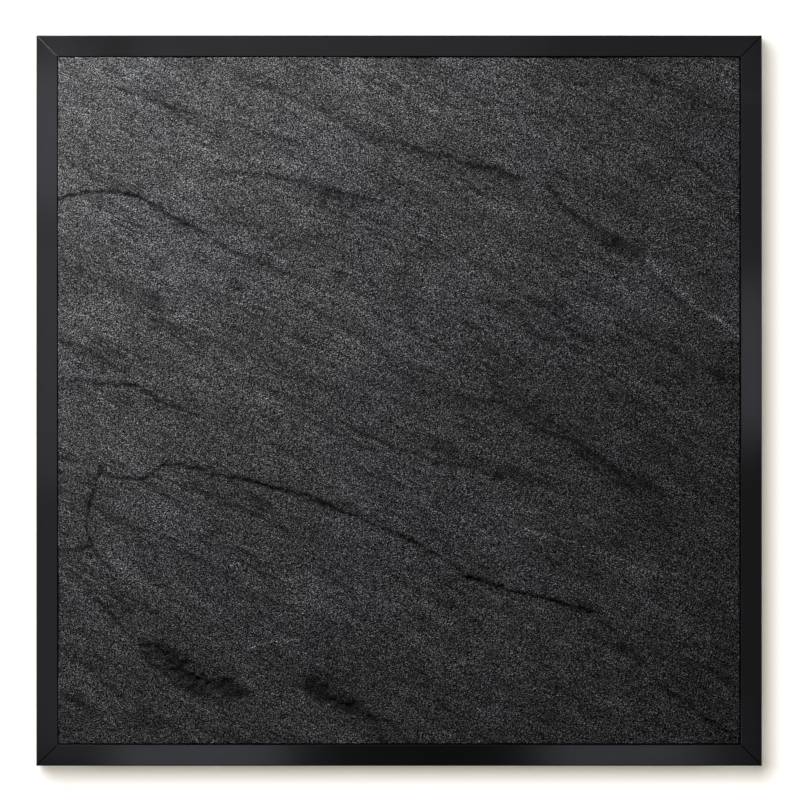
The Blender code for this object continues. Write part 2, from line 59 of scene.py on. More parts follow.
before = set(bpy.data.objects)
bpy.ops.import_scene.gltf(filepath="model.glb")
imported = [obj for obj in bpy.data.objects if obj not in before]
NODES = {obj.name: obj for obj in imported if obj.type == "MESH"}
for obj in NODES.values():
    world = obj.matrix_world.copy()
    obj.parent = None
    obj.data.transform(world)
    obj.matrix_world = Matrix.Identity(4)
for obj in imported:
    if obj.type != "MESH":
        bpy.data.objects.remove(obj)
cad_low, cad_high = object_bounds()
SLAB_LOW, SLAB_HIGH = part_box("slab")
OPEN_HALF_X = -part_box("rail_left")[1].x
OPEN_HALF_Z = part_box("rail_top")[0].z
PANEL_HALF_X = cad_high.x
PANEL_HALF_Z = cad_high.z
FRONT = cad_low.y
WALL = cad_high.y
MM = 0.001

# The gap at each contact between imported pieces.
FIT = 0.3 * MM
# The way that the stone splits: its leaves and ledges run down to the right.
CLEAVAGE = math.radians(-28)
# The gap between the riven field and the frame's lip, and the width of the slope at the field's edge.
FIELD_GAP = 0.4 * MM
FIELD_SLOPE = 0.3 * MM
# How far the relief's zero height lies behind the slab's front plane, and how far its highest point does.
RIVEN_PROUD = 0.9 * MM
KEPT_BEHIND = 0.05 * MM
# Corners of a rail's mesh that are closer than this are one corner.
WELD = 0.01 * MM
# The glue in a mitre is this share of the mitre's face, so that it stays inside the frame.
GLUE_SHARE = 0.995
# The filler wiped over the front of each mitre.
FILLER_WIDTH = 0.7 * MM
FILLER_PROUD = 0.03 * MM

# The noises that the riven face is made of. Each has its size, the length and the width of its features in
# millimetres, and its seed. Bends and heights are in millimetres, leaves in steps, and tones from 0 to 1.
BENDS = ((7.0, 90, 60, 11), (2.5, 25, 18, 12))
SWELLS = ((0.45, 160, 90, 3),)
LEAVES = ((3.2, 140, 35, 5), (0.5, 30, 10, 6))
FINE_RELIEF = (
    (0.17, 90, 13, 21),
    (0.1, 50, 6.5, 22),
    (0.07, 24, 3.4, 23),
    (0.05, 9, 2.2, 24),
    (0.03, 2.6, 1.6, 25),
)
LEAF_TONES = ((0.12, 60, 12, 31), (0.1, 20, 6, 32))
# How the cracks wander: drift in millimetres, size of its features in millimetres, and seed.
WANDERS = ((1.7, 20, 41), (1.1, 6, 43), (0.7, 2.6, 45))
# How the cracks and hollows grow fainter and stronger, about a mean and between two limits.
VARIATIONS = ((0.35, 14, 14, 47), (0.45, 4.5, 3.5, 48))
MEAN_STRENGTH = 0.8
LEAST_STRENGTH = 0.3
MOST_STRENGTH = 1.3
# The thickness of one leaf, and the share of its width that its broken edge takes.
LEAF_STEP = 0.16 * MM
LEAF_EDGE = 0.18
# A ledge's edge, the distance over which its drop dies away, and the length over which a crack ends.
LEDGE_EDGE = 0.8 * MM
LEDGE_FADE = 26 * MM
CRACK_END = 3 * MM
# The painted shade on a crack's line and the soft painted shade beside it, and how wide that shade is.
LINE_PAINTED_SHADE = 0.85
SIDE_PAINTED_SHADE = 0.18
SHADE_WIDTH = 3 * MM
# How steeply a hollow's rim falls away.
RIM_POWER = 1.9
# The noise's lattice repeats after this many cells, and the face's middle lies this many cells into it.
LATTICE = 256
LATTICE_START = 400.0

# Cracks and ledges of the riven face. Points are (across, up) on the open face, from 0 to 1. Then come the
# drop to the side below the line, the depth of the groove along it and its width, in millimetres, and how
# dark it is, from 0 to 1, as painted shade (below 0 for a pale line, painted as a highlight).
CRACKS = (
    # The long crack at the upper left and its branch.
    (((0.0, 0.79), (0.037, 0.804), (0.08, 0.806), (0.105, 0.8)), 0.5, 0.45, 1.6, 0.8),
    (((0.105, 0.8), (0.127, 0.79), (0.152, 0.775), (0.19, 0.757)), 0.6, 0.5, 1.9, 0.85),
    (((0.19, 0.757), (0.24, 0.725), (0.3, 0.7), (0.36, 0.672)), 0.4, 0.3, 1.9, 0.5),
    (((0.18, 0.765), (0.24, 0.755), (0.3, 0.752), (0.37, 0.722)), 0.1, 0.2, 1.4, 0.4),
    # Fine leaves above it.
    (((0.07, 0.96), (0.19, 0.92), (0.294, 0.89), (0.36, 0.87)), 0.2, 0.1, 1.5, 0.35),
    (((0.27, 0.97), (0.353, 0.934), (0.44, 0.89), (0.544, 0.858)), 0.2, 0.2, 1.6, 0.4),
    (((0.544, 0.858), (0.632, 0.836), (0.684, 0.822)), 0.3, 0.3, 1.7, 0.65),
    (((0.24, 0.835), (0.32, 0.825), (0.39, 0.81), (0.475, 0.788)), 0.2, 0.2, 1.7, 0.5),
    (((0.475, 0.788), (0.52, 0.755), (0.6, 0.71), (0.68, 0.66)), 0.1, 0.1, 1.4, 0.25),
    (((0.765, 0.883), (0.853, 0.854), (0.91, 0.817), (1.0, 0.77)), 0.2, 0.2, 1.5, 0.4),
    (((0.82, 0.99), (0.87, 0.965), (0.94, 0.934), (1.0, 0.92)), 0.2, 0.2, 1.5, 0.45),
    (((0.6, 0.94), (0.7, 0.92), (0.77, 0.89)), 0.1, 0.1, 1.3, 0.3),
    # The ledge at the upper right: painted shade above its ridge, which is painted pale as a highlight.
    (((0.72, 0.81), (0.75, 0.775), (0.79, 0.745), (0.82, 0.728), (0.857, 0.717)), -0.4, 0.3, 2.4, 0.75),
    (((0.855, 0.716), (0.897, 0.671), (0.941, 0.634), (1.0, 0.594)), -0.6, 0.0, 2.0, -0.62),
    (((0.875, 0.68), (0.92, 0.63), (0.96, 0.6)), -0.2, 0.1, 2.0, 0.4),
    (((0.735, 0.795), (0.79, 0.76), (0.84, 0.73)), -0.2, 0.0, 1.0, -0.35),
    # Fine leaves across the middle.
    (((0.69, 0.65), (0.735, 0.62), (0.78, 0.583)), 0.2, 0.2, 2.0, 0.5),
    (((0.515, 0.605), (0.588, 0.561), (0.66, 0.51), (0.735, 0.459)), 0.2, 0.2, 1.3, 0.5),
    (((0.735, 0.459), (0.81, 0.4), (0.86, 0.35), (0.9, 0.31)), 0.2, 0.2, 1.3, 0.5),
    (((0.426, 0.459), (0.5, 0.43), (0.56, 0.41), (0.61, 0.4)), 0.3, 0.3, 1.5, 0.7),
    (((0.3, 0.52), (0.37, 0.49), (0.43, 0.46)), 0.1, 0.1, 1.3, 0.35),
    (((0.25, 0.61), (0.35, 0.57), (0.45, 0.53), (0.55, 0.47)), 0.1, 0.1, 1.3, 0.3),
    (((0.2, 0.72), (0.3, 0.665), (0.4, 0.62), (0.5, 0.585)), 0.1, 0.1, 1.3, 0.25),
    (((0.8, 0.62), (0.87, 0.59), (0.93, 0.555), (1.0, 0.53)), 0.2, 0.1, 1.6, 0.4),
    (((0.507, 0.725), (0.509, 0.66), (0.513, 0.6)), 0.0, 0.1, 1.1, 0.4),
    # The short crack at the left.
    (((0.02, 0.528), (0.07, 0.525), (0.115, 0.522), (0.16, 0.496), (0.205, 0.477)), 0.4, 0.35, 1.6, 0.7),
    (((0.0, 0.56), (0.05, 0.57), (0.1, 0.56)), 0.1, 0.1, 1.5, 0.25),
    # The long crack across the lower half.
    (((0.0, 0.415), (0.04, 0.41), (0.066, 0.4)), 0.1, 0.2, 1.4, 0.4),
    (((0.062, 0.4), (0.08, 0.387), (0.115, 0.386), (0.14, 0.39), (0.154, 0.408)), 0.3, 0.4, 1.5, 0.75),
    (((0.154, 0.408), (0.184, 0.408), (0.22, 0.393), (0.262, 0.386), (0.294, 0.379)), 0.4, 0.4, 1.6, 0.8),
    (((0.294, 0.379), (0.322, 0.37), (0.353, 0.366), (0.38, 0.353), (0.41, 0.34)), 0.6, 0.5, 2.0, 0.9),
    (((0.41, 0.34), (0.44, 0.329), (0.47, 0.315), (0.515, 0.298)), 0.6, 0.4, 1.6, 0.7),
    (((0.515, 0.298), (0.545, 0.28), (0.566, 0.269), (0.603, 0.244)), 0.6, 0.5, 1.8, 0.95),
    (((0.603, 0.244), (0.66, 0.225), (0.72, 0.21), (0.78, 0.196)), 0.8, 0.6, 1.8, 0.95),
    (((0.78, 0.196), (0.8, 0.178), (0.835, 0.145), (0.88, 0.09)), 0.6, 0.2, 1.4, 0.45),
    (((0.88, 0.09), (0.94, 0.045), (1.0, 0.004)), 0.5, 0.4, 1.5, 0.7),
    (((0.785, 0.19), (0.82, 0.165), (0.845, 0.163), (0.832, 0.14)), 0.1, 0.0, 1.0, -0.4),
    # The cracked corner at the left and its facet, painted pale as a highlight.
    (((0.063, 0.4), (0.05, 0.36), (0.043, 0.335)), -0.3, 0.5, 1.6, 1.0),
    (((0.043, 0.335), (0.042, 0.313), (0.05, 0.292)), -0.2, 0.45, 1.5, 0.9),
    (((0.0, 0.281), (0.03, 0.281), (0.05, 0.288)), 0.2, 0.3, 1.7, 0.85),
    (((0.055, 0.28), (0.068, 0.266), (0.082, 0.25)), -0.2, 0.3, 1.6, 0.5),
    (((0.14, 0.225), (0.18, 0.195), (0.22, 0.165), (0.28, 0.137)), 0.1, 0.0, 1.1, -0.35),
    (((0.28, 0.137), (0.32, 0.15), (0.353, 0.152)), -0.2, 0.0, 1.2, -0.55),
    (((0.115, 0.15), (0.16, 0.113)), -0.3, 0.0, 0.9, -0.5),
    (((0.06, 0.21), (0.09, 0.18), (0.115, 0.15)), 0.2, 0.2, 1.8, 0.5),
    (((0.0, 0.14), (0.06, 0.105), (0.13, 0.07)), 0.2, 0.2, 2.0, 0.4),
    (((0.06, 0.09), (0.12, 0.06), (0.18, 0.02)), 0.2, 0.2, 2.2, 0.45),
    (((0.187, 0.371), (0.24, 0.358), (0.307, 0.338)), 0.1, 0.1, 1.6, 0.3),
    # The broken pockets near the bottom.
    (
        ((0.118, 0.146), (0.15, 0.142), (0.185, 0.12), (0.205, 0.095), (0.24, 0.083), (0.28, 0.07)),
        0.2,
        0.3,
        2.6,
        0.3,
    ),
    (((0.353, 0.087), (0.39, 0.073), (0.44, 0.05), (0.485, 0.033), (0.515, 0.0)), 0.2, 0.3, 2.4, 0.5),
    # Pale flakes.
    (((0.415, 0.148), (0.45, 0.135), (0.51, 0.134)), 0.1, 0.0, 1.0, -0.35),
    (((0.69, 0.313), (0.75, 0.295), (0.82, 0.27), (0.87, 0.245), (0.91, 0.247)), -0.3, 0.0, 1.4, -0.55),
    (((0.3, 0.865), (0.34, 0.84), (0.38, 0.825)), 0.0, 0.0, 1.1, -0.25),
)

# Hollows and soft dark streaks: centre (across, up), half length and half width in millimetres, turn from
# the cleavage in degrees, depth in millimetres and darkness from 0 to 1, which in a hollow is painted shade
# (below 0 for a pale patch, painted as a highlight).
HOLLOWS = (
    ((0.155, 0.122), 21, 11, -4, 0.8, 0.8),
    ((0.203, 0.091), 18, 11, -18, 1.0, 0.75),
    ((0.247, 0.078), 20, 9, 16, 0.8, 0.65),
    ((0.384, 0.077), 13, 8, -25, 0.9, 0.75),
    ((0.435, 0.052), 24, 6, 4, 0.8, 0.65),
    ((0.13, 0.035), 20, 5, 0, 0.6, 0.5),
    ((0.82, 0.725), 26, 9, 5, 0.7, 0.55),
    ((0.16, 0.935), 34, 5, 5, 0.3, 0.3),
    ((0.475, 0.88), 30, 6, 0, 0.3, 0.35),
    ((0.41, 0.8), 40, 5, 15, 0.35, 0.35),
    ((0.64, 0.83), 30, 6, 10, 0.4, 0.4),
    ((0.6, 0.415), 50, 7, 5, 0.4, 0.35),
    ((0.14, 0.645), 10, 7, 0, 0.2, 0.35),
    ((0.18, 0.62), 12, 5, 20, -0.1, -0.3),
    ((0.105, 0.25), 31, 6, -9, -0.1, -0.38),
    ((0.2, 0.112), 44, 20, -6, 0.3, 0.28),
    ((0.41, 0.068), 36, 14, -8, 0.2, 0.25),
    ((0.75, 0.46), 120, 52, 0, 0.0, 0.2),
    ((0.96, 0.45), 60, 90, 28, 0.0, 0.12),
    ((0.42, 0.12), 90, 40, 0, 0.0, 0.07),
    ((0.5, 0.95), 120, 26, 10, 0.0, -0.15),
    ((0.29, 0.36), 16, 5, 10, 0.2, 0.3),
    ((0.26, 0.665), 10, 4, 10, 0.4, 0.45),
    ((0.83, 0.137), 6, 4, -10, 0.4, 0.4),
    ((0.745, 0.63), 16, 5, -8, 0.3, 0.4),
    ((0.775, 0.587), 12, 4, 8, 0.3, 0.4),
    ((0.645, 0.392), 6, 4, 20, 0.3, 0.5),
    ((0.9, 0.576), 10, 4, 8, 0.3, 0.4),
    ((0.965, 0.54), 9, 6, 20, 0.3, 0.5),
    ((0.05, 0.62), 26, 22, 0, 0.0, -0.12),
    ((0.06, 0.49), 18, 14, 0, 0.0, -0.1),
    ((0.15, 0.33), 30, 18, 10, 0.0, -0.14),
    ((0.11, 0.6), 8, 20, 10, 0.1, 0.18),
    ((0.36, 0.215), 45, 14, 10, 0.0, -0.12),
    ((0.7, 0.62), 55, 14, 5, 0.2, 0.15),
)

# Soft cards in front of the frame that light only its rails: name, place across and up in metres, width and
# height in metres, and brightness.
CARDS = (
    ("card_top", (-0.045, 0.295), (0.35, 0.05), 0.58),
    ("card_top_end", (0.225, 0.295), (0.17, 0.05), 0.37),
    ("card_left_upper", (-0.295, 0.22), (0.05, 0.13), 1.5),
    ("card_left_middle", (-0.295, 0.03), (0.05, 0.22), 0.98),
    ("card_left_lower", (-0.295, -0.20), (0.05, 0.20), 0.58),
    ("card_right_upper", (0.295, 0.22), (0.05, 0.20), 0.43),
    ("card_right_middle", (0.295, 0.035), (0.05, 0.135), 1.4),
    ("card_right_lower", (0.295, -0.20), (0.05, 0.26), 0.2),
    ("card_bottom_left", (-0.17, -0.295), (0.15, 0.05), 1.6),
    ("card_bottom_right", (0.19, -0.295), (0.14, 0.05), 1.3),
)
# How far the cards stand in front of the frame, and their light's colour.
CARD_DISTANCE = 0.17
CARD_COLOUR = (0.99, 0.965, 1.12)

# Soft lamps kept off the stone and the stage: name, place in metres, power in watts and side in metres.
FILLS = (
    ("fill_right", (2.5, -0.1, 0.25), 11.0, 2.0),
    ("fill_left", (-2.5, -0.1, 0.25), 11.0, 2.0),
    ("side_glow", (1.8, 1.8, -1.1), 9.0, 1.6),
    ("fill_front_right", (1.7, -1.7, 0.7), 7.0, 1.4),
    ("fill_front_left", (-1.7, -1.7, -0.8), 8.0, 1.4),
    ("fill_above", (0.0, 0.3, 2.4), 10.0, 1.8),
    ("back_right", (1.1, 2.2, 1.2), 48.0, 1.5),
    ("back_left", (-1.5, 1.7, 0.8), 22.0, 1.5),
)

# The wall's half width and its top, the ground's height and the floor's half width, in metres.
WALL_REACH = 2.2
WALL_TOP = 2.0
GROUND = -1.1
FLOOR_REACH = 6.0
# How far the camera stands in front of the panel, and right of and above its middle, in metres. Its view is
# the panel's width times this margin.
CAMERA_DISTANCE = 8.0
CAMERA_ACROSS = 0.00076
CAMERA_UP = 0.0005
VIEW_MARGIN = 1.1025


class Socket:
    """An output socket of a node tree that can be used in Python expressions."""

    def __init__(self, tree, socket):
        self.tree = tree
        self.socket = socket

    def _math(self, operation, *values):
        return self.tree.node("ShaderNodeMath", {"operation": operation}, dict(enumerate(values)))

    def __add__(self, other):
        return self._math("ADD", self, other)

    __radd__ = __add__

    def __sub__(self, other):
        return self._math("SUBTRACT", self, other)

    def __rsub__(self, other):
        return self._math("SUBTRACT", other, self)

    def __mul__(self, other):
        return self._math("MULTIPLY", self, other)

    __rmul__ = __mul__

    def __truediv__(self, other):
        return self._math("DIVIDE", self, other)

    def __rtruediv__(self, other):
        return self._math("DIVIDE", other, self)

    def exponential(self):
        return self._math("EXPONENT", self)

    def sine(self):
        return self._math("SINE", self)

    def largest(self, other):
        return self._math("MAXIMUM", self, other)

    def between(self, low, high):
        """0 at low, 1 at high, smooth in between."""
        settings = {"interpolation_type": "SMOOTHSTEP"}
        inputs = {"Value": self, "From Min": low, "From Max": high}
        return self.tree.node("ShaderNodeMapRange", settings, inputs)


class Finish:
    """A material under construction: its node tree, its shader and a short way to add nodes."""

    # Turns the noise askew to every flat face, in radians, so that no face shows its lattice.
    ASKEW = (0.62, 0.0, 0.47)

    def __init__(self, name):
        self.material = bpy.data.materials.new(name)
        self.material.use_nodes = True
        self.nodes = self.material.node_tree.nodes
        self.links = self.material.node_tree.links
        self.shader = self.nodes["Principled BSDF"]

    def node(self, kind, settings=None, inputs=None, output=0):
        """A new node of a kind, with its settings and the values or links of its inputs."""
        made = self.nodes.new(kind)
        for key, value in (settings or {}).items():
            setattr(made, key, value)
        for key, value in (inputs or {}).items():
            self.feed(made.inputs[key], value)
        return Socket(self, made.outputs[output])

    def feed(self, target, value):
        """Links or sets an input socket."""
        if isinstance(value, Socket):
            self.links.new(value.socket, target)
        elif target.type == "RGBA" and len(value) == 3:
            target.default_value = (*value, 1.0)
        else:
            target.default_value = value

    def shade(self, **values):
        """Links or sets the shader's own inputs, whose names are written with underscores for spaces."""
        for key, value in values.items():
            self.feed(self.shader.inputs[key.replace("_", " ")], value)

    def place(self, turn=0.0, stretch=(1.0, 1.0, 1.0)):
        """Object coordinates in metres, turned in the panel's plane, scaled and set askew."""
        spot = self.node("ShaderNodeTexCoord", output="Object")
        inputs = {"Vector": spot, "Rotation": (0, -turn, 0)}
        turned = self.node("ShaderNodeMapping", {"vector_type": "TEXTURE"}, inputs)
        inputs = {"Vector": turned, "Scale": stretch, "Rotation": self.ASKEW}
        return self.node("ShaderNodeMapping", {"vector_type": "POINT"}, inputs)

    def across_and_up(self):
        """Distances in metres across and up from the panel's middle."""
        spot = self.node("ShaderNodeTexCoord", output="Object")
        across = self.node("ShaderNodeSeparateXYZ", inputs={"Vector": spot}, output="X")
        up = self.node("ShaderNodeSeparateXYZ", inputs={"Vector": spot}, output="Z")
        return across, up

    def noise(self, vector, size, detail=2.0, roughness=0.5, distortion=0.0):
        """Noise from 0 to 1 whose features are about size metres."""
        inputs = {
            "Vector": vector,
            "Scale": 1 / size,
            "Detail": detail,
            "Roughness": roughness,
            "Distortion": distortion,
        }
        return self.node("ShaderNodeTexNoise", {"noise_dimensions": "3D"}, inputs)

    def mix(self, factor, first, second):
        """A mix of two colours. The node's sockets share their names, so they are given by number."""
        inputs = {0: factor, 6: first, 7: second}
        return self.node("ShaderNodeMix", {"data_type": "RGBA"}, inputs, output=2)

    def tint(self, colour, strength):
        """A colour made lighter or darker by a value about 1."""
        return self.node("ShaderNodeVectorMath", {"operation": "SCALE"}, {0: colour, "Scale": strength})

    def bump(self, height, distance):
        """A normal that rises by a height from 0 to 1, times a distance in metres."""
        inputs = {"Height": height, "Distance": distance, "Strength": 1.0}
        return self.node("ShaderNodeBump", inputs=inputs)


def cell_and_part(place):
    """The lattice cell that each place lies in, and how far through it, eased at both ends."""
    place = place + LATTICE_START
    cell = np.floor(place).astype(int)
    part = place - cell
    return cell % LATTICE, part * part * (3 - 2 * part)


def lattice_noise(along, across, length, width, seed):
    """Smooth noise from -1 to 1 with features about length by width."""
    lattice = np.random.default_rng(seed).uniform(-1, 1, (LATTICE, LATTICE))
    column, part_along = cell_and_part(along / length)
    row, part_across = cell_and_part(across / width)
    next_column = (column + 1) % LATTICE
    next_row = (row + 1) % LATTICE
    low = lattice[column, row] * (1 - part_along) + lattice[next_column, row] * part_along
    high = lattice[column, next_row] * (1 - part_along) + lattice[next_column, next_row] * part_along
    return low * (1 - part_across) + high * part_across


def noise_sum(along, across, noises):
    """The sum of noises, each given as a size, the length and width of its features in mm, and a seed."""
    total = np.zeros(along.shape)
    for size, length, width, seed in noises:
        total += size * lattice_noise(along, across, length * MM, width * MM, seed)
    return total


def line_distance(x, z, line):
    """Signed distance to a broken line, positive above it, with how far past its ends each point lies."""
    nearest = np.full(x.shape, np.inf)
    signed = np.zeros(x.shape)
    beyond = np.zeros(x.shape)
    for (x0, z0), (x1, z1) in zip(line[:-1], line[1:]):
        step_x, step_z = x1 - x0, z1 - z0
        squared = step_x**2 + step_z**2
        share = ((x - x0) * step_x + (z - z0) * step_z) / squared
        held = np.clip(share, 0, 1)
        distance = np.hypot(x - x0 - held * step_x, z - z0 - held * step_z)
        side = np.where(step_x * (z - z0) - step_z * (x - x0) < 0, -1.0, 1.0)
        closer = distance < nearest
        nearest = np.where(closer, distance, nearest)
        signed = np.where(closer, side * distance, signed)
        beyond = np.where(closer, np.abs(share - held) * math.sqrt(squared), beyond)
    return signed, beyond


def on_face(across, up):
    """The place in metres of a point given as shares of the open face."""
    return (2 * across - 1) * OPEN_HALF_X, (2 * up - 1) * OPEN_HALF_Z


def along_and_across(x, z, angle):
    """Distances along a direction in the panel's plane, and across it."""
    along = x * math.cos(angle) + z * math.sin(angle)
    across = z * math.cos(angle) - x * math.sin(angle)
    return along, across


def leafy_relief(x, z):
    """Height and tone of the stone's leaves, before its cracks and hollows."""
    along, across = along_and_across(x, z, CLEAVAGE)
    # Bends the pattern so that no ledge runs straight.
    across = across + MM * noise_sum(along, across, BENDS)
    height = MM * noise_sum(along, across, SWELLS)
    # Thin leaves of stone broken off one below the other.
    leaf = noise_sum(along, across, LEAVES)
    whole = np.floor(leaf)
    height += LEAF_STEP * (whole + np.clip((leaf - whole) / LEAF_EDGE, 0, 1))
    height += MM * noise_sum(along, across, FINE_RELIEF)
    return height, noise_sum(along, across, LEAF_TONES)


def cut_cracks(x, z, strength, height, painted_light_and_tone):
    """Adds the ledge and the groove of each crack to the height, and the painted shade along it and beside
    it to the painted light and tone.
    """
    reach = 3 * LEDGE_FADE
    for points, drop, groove, width, dark in CRACKS:
        line = [on_face(across, up) for across, up in points]
        near = (
            (x > min(place[0] for place in line) - reach)
            & (x < max(place[0] for place in line) + reach)
            & (z > min(place[1] for place in line) - reach)
            & (z < max(place[1] for place in line) + reach)
        )
        signed, beyond = line_distance(x[near], z[near], line)
        distance = np.abs(signed)
        ending = np.exp(-((beyond / CRACK_END) ** 2))
        ledge = 0.5 * drop * MM * np.tanh(signed / LEDGE_EDGE) * np.exp(-distance / LEDGE_FADE)
        slot = np.exp(-((signed / (width * MM)) ** 2)) * strength[near] * ending
        shade = np.exp(-distance / SHADE_WIDTH) * ending
        height[near] += ledge * np.exp(-beyond / LEDGE_FADE) - groove * MM * slot
        painted_light_and_tone[near] += dark * (LINE_PAINTED_SHADE * slot + SIDE_PAINTED_SHADE * shade)


def break_hollows(x, z, strength, height, painted_light_and_tone):
    """Takes the depth of each hollow off the height, and adds its painted shade, or its pale painted
    highlight, to the painted light and tone.
    """
    for (across, up), half_length, half_width, turn, depth, dark in HOLLOWS:
        middle_x, middle_z = on_face(across, up)
        angle = CLEAVAGE + math.radians(turn)
        run, rise = along_and_across(x - middle_x, z - middle_z, angle)
        squared = (run / (half_length * MM)) ** 2 + (rise / (half_width * MM)) ** 2
        bowl = np.exp(-(squared**RIM_POWER)) * strength
        height -= depth * MM * bowl
        painted_light_and_tone += dark * bowl


def riven_relief(x, z):
    """Height in metres of the riven face over its middle, and its painted light and tone: dark above 0,
    pale below.
    """
    height, painted_light_and_tone = leafy_relief(x, z)
    # Makes the cracks wander, in three sizes of wobble.
    drift_x, drift_z = x, z
    for drift, size, seed in WANDERS:
        drift_x = drift_x + drift * MM * lattice_noise(x, z, size * MM, size * MM, seed)
        drift_z = drift_z + drift * MM * lattice_noise(x, z, size * MM, size * MM, seed + 1)
    strength = MEAN_STRENGTH + noise_sum(x, z, VARIATIONS)
    strength = np.clip(strength, LEAST_STRENGTH, MOST_STRENGTH)
    cut_cracks(drift_x, drift_z, strength, height, painted_light_and_tone)
    break_hollows(drift_x, drift_z, strength, height, painted_light_and_tone)
    return height, np.clip(painted_light_and_tone, -1, 1)


def spread_lines(half, open_half, count):
    """Places of the grid's lines: edge, end of the margin, start of the field, then even cells across."""
    inner = open_half - FIELD_GAP
    field = inner - FIELD_SLOPE
    lines = (0, 1, 2, count - 2, count - 1, count)
    return np.interp(range(count + 1), lines, (-half, -inner, -field, field, inner, half))


def gridded_plate(name, columns, rows):
    """A plate from -1 to 1 each way, gridded in front at 0 and closed by one face behind at -1."""
    bm = bmesh.new()
    bmesh.ops.create_grid(bm, x_segments=columns, y_segments=rows, size=1.0)
    rim = [e for e in bm.edges if e.is_boundary]
    drawn = bmesh.ops.extrude_edge_only(bm, edges=rim)
    lowered = [v for v in drawn["geom"] if isinstance(v, bmesh.types.BMVert)]
    bmesh.ops.translate(bm, verts=lowered, vec=(0, 0, -1))
    bmesh.ops.edgeloop_fill(bm, edges=[e for e in bm.edges if e.is_boundary])
    mesh = bpy.data.meshes.new(name)
    bm.to_mesh(mesh)
    bm.free()
    return mesh


def slab_piece(cell):
    """The slab: a fine riven field raised inside a rebated margin, drawn back to its sawn back."""
    columns = round(2 * SLAB_HIGH.x / cell)
    rows = round(2 * SLAB_HIGH.z / cell)
    mesh = gridded_plate("riven_slab", columns, rows)
    spots = np.empty(len(mesh.vertices) * 3, np.float32)
    mesh.vertices.foreach_get("co", spots)
    spots = spots.reshape(-1, 3).astype(float)
    column = np.rint((spots[:, 0] + 1) / 2 * columns).astype(int)
    row = np.rint((spots[:, 1] + 1) / 2 * rows).astype(int)
    at_back = spots[:, 2] < -0.5
    x = spread_lines(SLAB_HIGH.x, OPEN_HALF_X, columns)[column]
    z = spread_lines(SLAB_HIGH.z, OPEN_HALF_Z, rows)[row]
    height, painted_light_and_tone = riven_relief(x, z)
    in_field = (column > 1) & (column < columns - 1) & (row > 1) & (row < rows - 1)
    middle = SLAB_LOW.y + RIVEN_PROUD
    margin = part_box("bedding_tape_top")[1].y + FIT
    raised = middle - np.minimum(height, RIVEN_PROUD - KEPT_BEHIND)
    front = np.where(in_field, raised, margin)
    spots = np.column_stack((x, np.where(at_back, SLAB_HIGH.y, front), z))
    mesh.vertices.foreach_set("co", spots.astype(np.float32).ravel())
    marks = mesh.attributes.new("painted_light_and_tone", "FLOAT", "POINT")
    marks.data.foreach_set("value", np.where(at_back, 0, painted_light_and_tone * in_field).astype(np.float32))
    mesh.flip_normals()
    mesh.shade_smooth()
    mesh.update()
    slab = bpy.data.objects.new("riven_slab", mesh)
    bpy.context.scene.collection.objects.link(slab)
    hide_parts("slab")
    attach(slab, "panel")
    return slab


def on_mitre(face):
    """Whether a rail's face lies on one of its two mitres: on a corner's diagonal, and slanting."""
    middle = face.calc_center_median()
    off_diagonal = abs(middle.z) - abs(middle.x) - (PANEL_HALF_Z - PANEL_HALF_X)
    near = 1.0 * MM
    slant = 0.6
    return abs(off_diagonal) < near and abs(face.normal.x) > slant and abs(face.normal.z) > slant


def fill_mitre(bm, side, thickness):
    """Grows the mitre face at one end of a rail into a plate of glue, in the middle of the joint's gap."""
    ends = [f for f in bm.faces if f.calc_center_median().x * side > 0]
    normal = ends[0].normal.copy()
    verts = list({v for f in ends for v in f.verts})
    middle = sum((v.co for v in verts), Vector()) / len(verts)
    shrunk = Matrix.Translation(middle) @ Matrix.Scale(GLUE_SHARE, 4) @ Matrix.Translation(-middle)
    bmesh.ops.transform(bm, matrix=shrunk, verts=verts)
    bmesh.ops.translate(bm, verts=verts, vec=normal * (FIT - thickness) / 2)
    grown = bmesh.ops.extrude_face_region(bm, geom=ends, use_keep_orig=True)
    moved = [v for v in grown["geom"] if isinstance(v, bmesh.types.BMVert)]
    bmesh.ops.translate(bm, verts=moved, vec=normal * thickness)


def wipe_filler(bm, side, end):
    """Adds the filler wiped over a mitre's front, a thin film from the outer to the inner corner."""
    outer = Vector((side * PANEL_HALF_X, FRONT, end * PANEL_HALF_Z))
    inner = Vector((side * OPEN_HALF_X, FRONT, end * OPEN_HALF_Z))
    run = inner - outer
    film = bmesh.ops.create_cube(bm, size=1.0)["verts"]
    sized = Matrix.Diagonal((run.length - FILLER_WIDTH, FILLER_PROUD * 2, FILLER_WIDTH, 1.0))
    turned = Matrix.Rotation(-math.atan2(run.z, run.x), 4, "Y")
    placed = Matrix.Translation((outer + inner) / 2) @ turned @ sized
    bmesh.ops.transform(bm, matrix=placed, verts=film)


def glue_line_piece(rail, thickness):
    """The glue that closes the mitres at both ends of a rail, with the filler over their fronts."""
    bm = bmesh.new()
    bm.from_mesh(NODES[rail].data)
    bmesh.ops.remove_doubles(bm, verts=bm.verts, dist=WELD)
    bm.normal_update()
    others = [f for f in bm.faces if not on_mitre(f)]
    bmesh.ops.delete(bm, geom=others, context="FACES")
    end = math.copysign(1.0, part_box(rail)[0].z)
    for side in (-1, 1):
        fill_mitre(bm, side, thickness)
    for side in (-1, 1):
        wipe_filler(bm, side, end)
    bmesh.ops.recalc_face_normals(bm, faces=bm.faces)
    name = rail.replace("rail", "glue_lines")
    mesh = bpy.data.meshes.new(name)
    bm.to_mesh(mesh)
    bm.free()
    glue = bpy.data.objects.new(name, mesh)
    bpy.context.scene.collection.objects.link(glue)
    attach(glue, "panel")
    return glue


